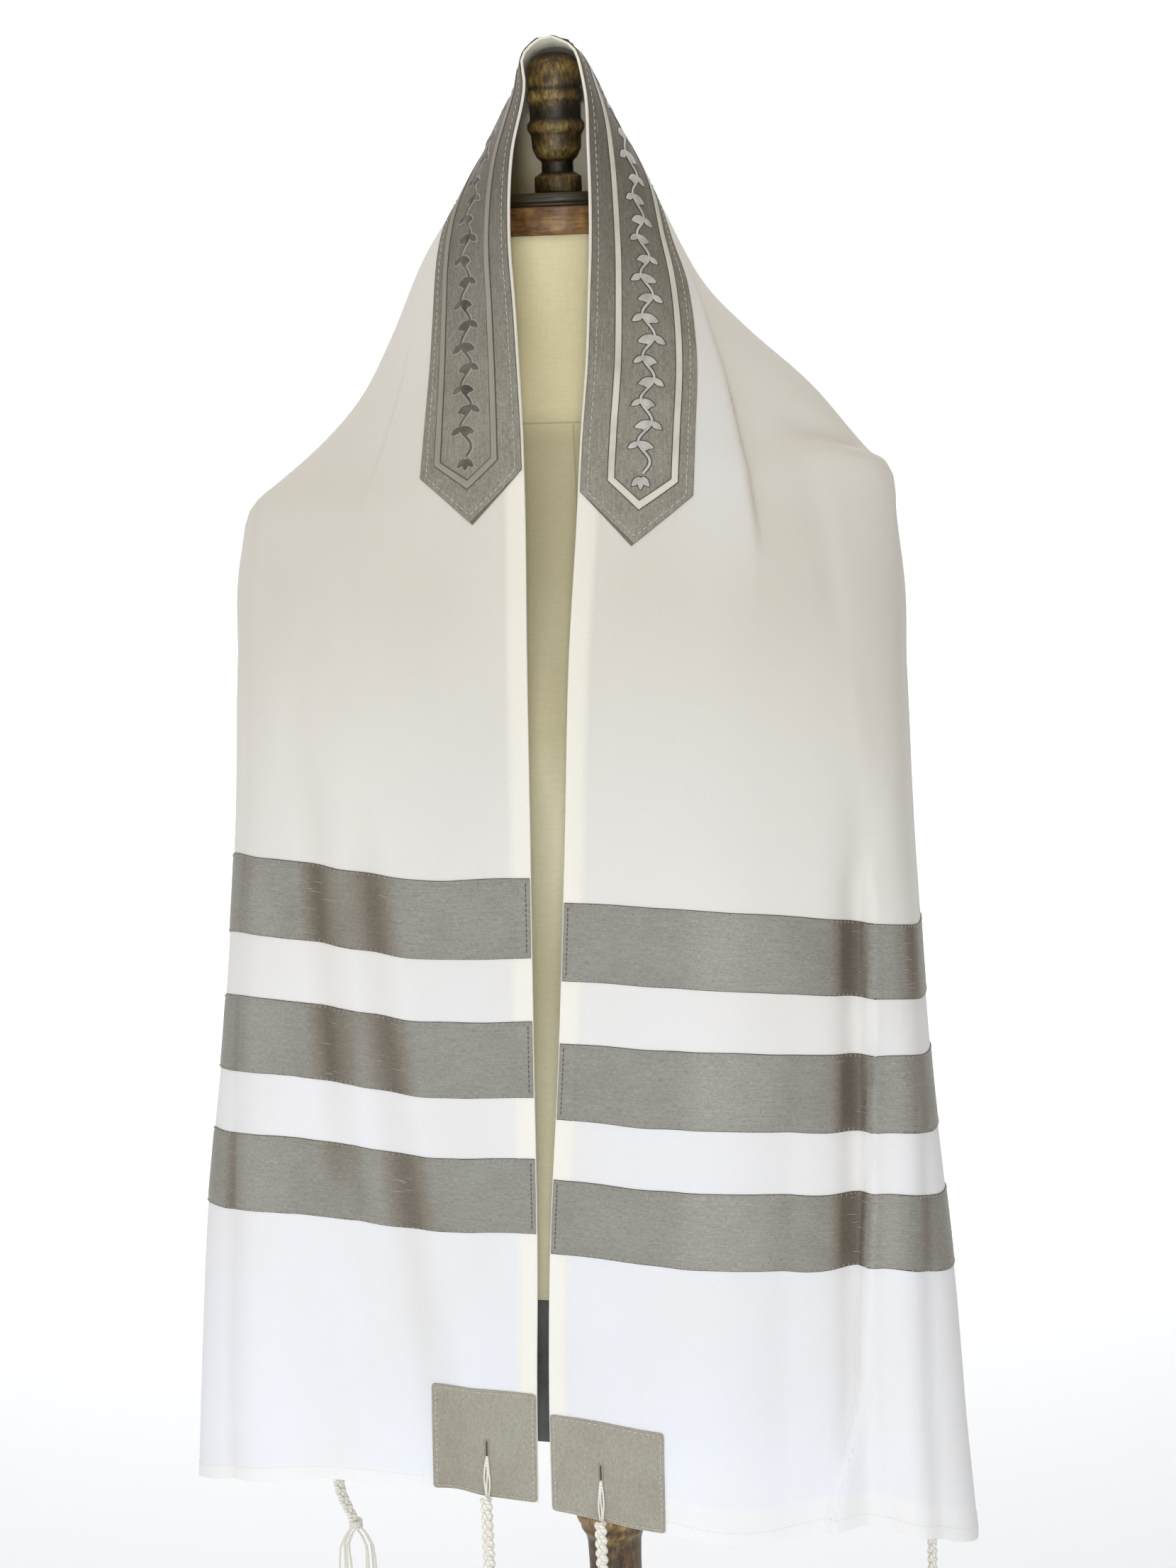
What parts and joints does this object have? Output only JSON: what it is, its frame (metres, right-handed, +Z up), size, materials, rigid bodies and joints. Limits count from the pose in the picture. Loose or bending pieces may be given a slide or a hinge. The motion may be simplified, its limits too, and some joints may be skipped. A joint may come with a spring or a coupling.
{
  "type": "tallit prayer shawl on a dress form stand",
  "caption": "White rectangular prayer shawl with grey bands, a grey neckband and knotted corner tassels, draped over the finial and shoulders of a dress form on a turned stand.",
  "frame": {"origin": "middle of the foot's flat underside, where the stand meets the floor", "axes": "+Z up the stand to the finial, -Y the shawl's open front, +X the viewer's right"},
  "size_m": [0.5766, 0.38, 1.6102],
  "materials": {
    "white_cloth": "fine plain-woven white cloth, matt",
    "grey_silk": "slubbed grey raw silk with a soft sheen",
    "neckband_silk": "slubbed grey raw silk, lightly embroidered",
    "ribbon_satin": "narrow grey-beige satin ribbon",
    "tassel_wool": "twisted ivory wool cord",
    "form_linen": "cream linen stretched over the form",
    "form_base_cloth": "dark grey cover below the linen, matt",
    "turned_wood": "turned wood, dark antique brown with gold-brown rubbed edges",
    "cap_wood": "mid-brown wood, satin, darker moulded top",
    "pole_metal": "brushed steel tube",
    "foot_wood": "turned wood, dark antique brown"
  },
  "bodies": {
    "root": {"atarah": "neckband_silk", "atarah_ribbon": "ribbon_satin", "band_left_1": "grey_silk", "band_left_2": "grey_silk", "band_left_3": "grey_silk", "band_right_1": "grey_silk", "band_right_2": "grey_silk", "band_right_3": "grey_silk", "column": "turned_wood", "corner_back_left": "grey_silk", "corner_back_right": "grey_silk", "corner_front_left": "grey_silk", "corner_front_right": "grey_silk", "finial": "turned_wood", "foot": "foot_wood", "neck_cap": "cap_wood", "pole": "pole_metal", "tallit_cloth": "white_cloth", "torso": "form_linen", "torso_base": "form_base_cloth", "tzitzit_back_left": "tassel_wool", "tzitzit_back_right": "tassel_wool", "tzitzit_front_left": "tassel_wool", "tzitzit_front_right": "tassel_wool"}
  },
  "joints": []
}
